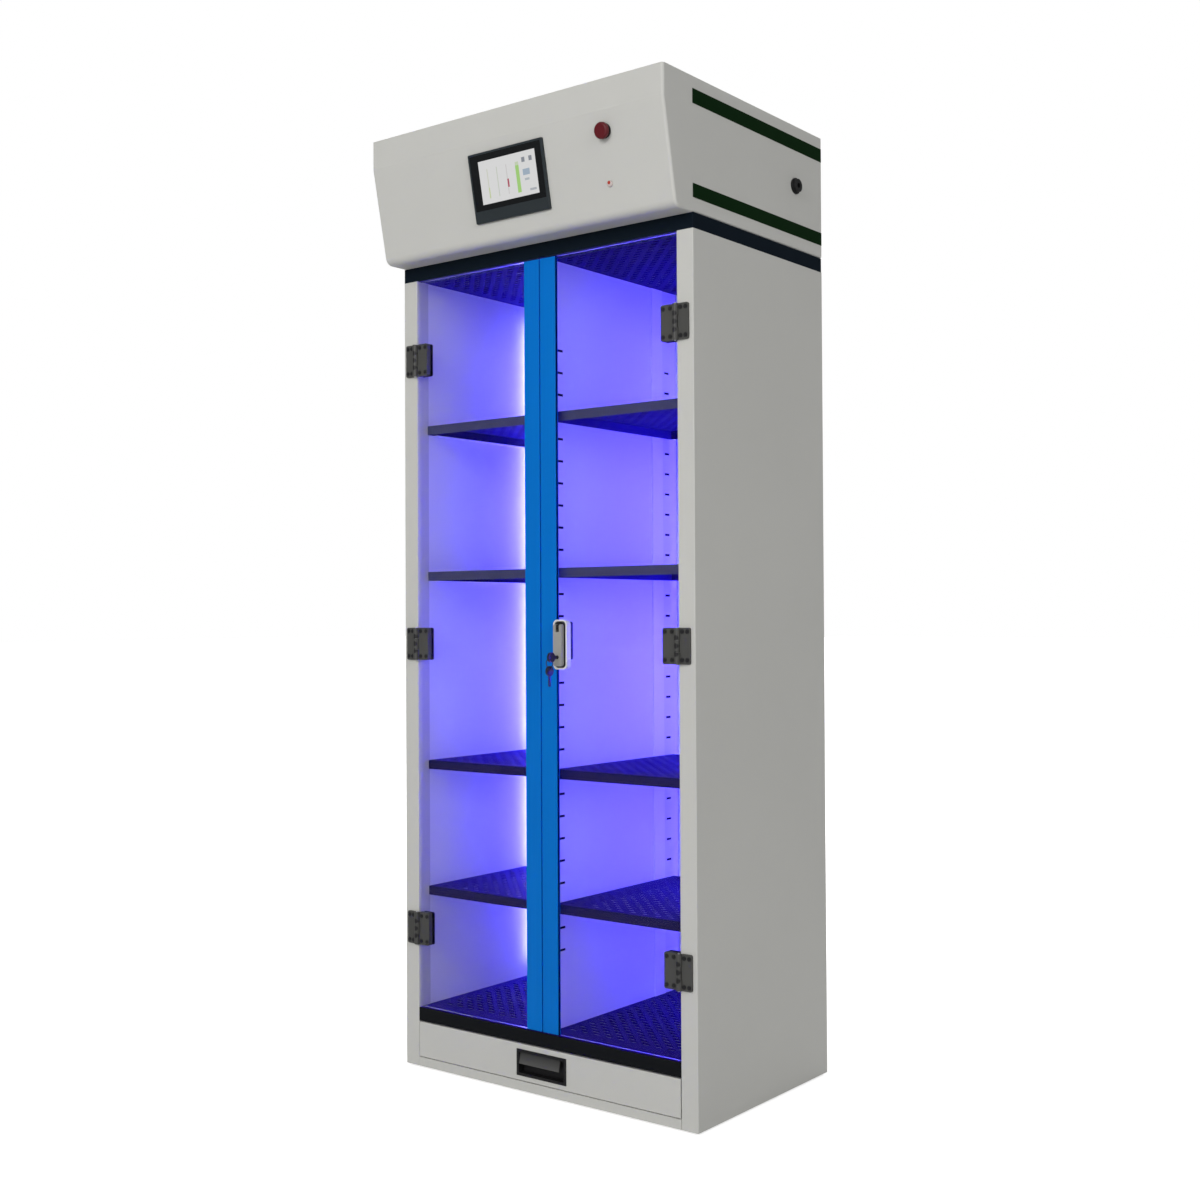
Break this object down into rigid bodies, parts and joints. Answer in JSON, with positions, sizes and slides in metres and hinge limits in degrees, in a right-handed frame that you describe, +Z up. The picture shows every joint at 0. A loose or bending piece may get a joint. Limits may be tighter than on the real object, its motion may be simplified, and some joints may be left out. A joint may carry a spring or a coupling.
{
  "type": "lit storage and disinfection cabinet",
  "caption": "Tall free-standing steel cabinet with glazed double doors, perforated shelves, violet lamps, a bottom drawer and a sloped head with touch panel, filter and fan.",
  "frame": {"origin": "on the floor, at the middle of the footprint with the head's overhang included", "axes": "+X to the right seen from the front, -Y out of the doors, +Z up"},
  "size_m": [0.8105, 0.6082, 2.07],
  "materials": {
    "body_paint": "satin",
    "black_paint": "satin",
    "deck_paint": "satin",
    "liner_paint": "satin",
    "cleat_paint": "satin",
    "zinc_steel": "satin",
    "stile_blue": "satin",
    "door_glass": "clear",
    "hinge_black": "satin",
    "lamp_glass": "frosted",
    "lamp_plastic": "satin",
    "handle_chrome": "polished",
    "lever_satin": "satin",
    "key_black": "matt",
    "panel_slate": "satin",
    "screen_glass": "gloss",
    "stop_red": "gloss",
    "ring_black": "matt",
    "light_red": "gloss",
    "stripe_green": "matt",
    "pull_black": "matt",
    "foot_rubber": "matt",
    "filter_media": "matt",
    "fan_black": "satin",
    "box_grey": "matt"
  },
  "bodies": {
    "cabinet": {"side_panel_left": "body_paint", "side_panel_right": "body_paint", "rear_panel": "body_paint", "base_pan": "body_paint", "hood_shell": "body_paint", "hood_top_cover": "body_paint", "hood_rear_panel": "body_paint", "exhaust_grille": "body_paint", "top_collar": "black_paint", "floor_panel": "black_paint", "ceiling_panel": "deck_paint", "shelf_left_1": "deck_paint", "shelf_left_2": "deck_paint", "shelf_left_3": "deck_paint", "shelf_left_4": "deck_paint", "shelf_right_1": "deck_paint", "shelf_right_2": "deck_paint", "shelf_right_3": "deck_paint", "shelf_right_4": "deck_paint", "side_liner_left": "liner_paint", "side_liner_right": "liner_paint", "rear_liner": "liner_paint", "centre_partition": "liner_paint", "shelf_cleats": "cleat_paint", "wiring_cover": "cleat_paint", "drawer_rails": "zinc_steel", "hood_base": "zinc_steel", "filter_box": "zinc_steel", "hinge_pins": "zinc_steel", "cover_screws": "zinc_steel", "hinge_leaves_frame": "hinge_black", "uv_tubes": "lamp_glass", "lamp_holders": "lamp_plastic", "hmi_case": "panel_slate", "hmi_display": "screen_glass", "stop_button_base": "ring_black", "cable_gland": "ring_black", "status_led": "light_red", "side_stripes": "stripe_green", "levelling_feet": "foot_rubber", "filter_cartridge": "filter_media", "fan_housing": "fan_black", "control_box": "box_grey"},
    "left_door": {"left_door_glass": "door_glass", "left_door_stile": "stile_blue", "left_door_hinges": "hinge_black"},
    "right_door": {"right_door_glass": "door_glass", "right_door_stile": "stile_blue", "right_door_hinges": "hinge_black", "handle_plate": "handle_chrome"},
    "handle": {"handle_spindle": "handle_chrome", "lock_cam": "zinc_steel"},
    "lever": {"handle_lever": "lever_satin"},
    "key": {"lock_key": "key_black"},
    "drawer": {"drawer_front": "body_paint", "drawer_tray": "zinc_steel", "drawer_pull": "pull_black", "drawer_slides": "zinc_steel"},
    "fan": {"fan_impeller": "fan_black"},
    "stop": {"stop_button": "stop_red"}
  },
  "joints": [
    {"name": "left_door_hinge", "type": "hinge", "parent": "cabinet", "child": "left_door", "pos_m": [-0.36, -0.207, 0.951], "axis": [0, 0, -1], "range_deg": [0, 110]},
    {"name": "right_door_hinge", "type": "hinge", "parent": "cabinet", "child": "right_door", "pos_m": [0.36, -0.207, 0.951], "axis": [0, 0, 1], "range_deg": [0, 110]},
    {"name": "handle_turn", "type": "hinge", "parent": "right_door", "child": "handle", "pos_m": [0.062, -0.2, 0.99], "axis": [0, 1, 0], "range_deg": [0, 90]},
    {"name": "lever_lift", "type": "hinge", "parent": "handle", "child": "lever", "pos_m": [0.062, -0.21275, 0.99], "axis": [-1, 0, 0], "range_deg": [0, 35]},
    {"name": "key_turn", "type": "hinge", "parent": "lever", "child": "key", "pos_m": [0.062, -0.217, 0.926], "axis": [0, -1, 0], "range_deg": [0, 90]},
    {"name": "drawer_slide", "type": "slide", "parent": "cabinet", "child": "drawer", "axis": [0, -1, 0], "range_m": [0, 0.4]},
    {"name": "fan_spin", "type": "hinge", "parent": "cabinet", "child": "fan", "pos_m": [0, 0.05, 1.946], "axis": [0, 0, 1], "continuous": true},
    {"name": "stop_press", "type": "slide", "parent": "cabinet", "child": "stop", "axis": [0, 0.9811, 0.1934], "range_m": [0, 0.004], "stiffness_N_per_m": 1500, "springref_m": -0.002}
  ]
}
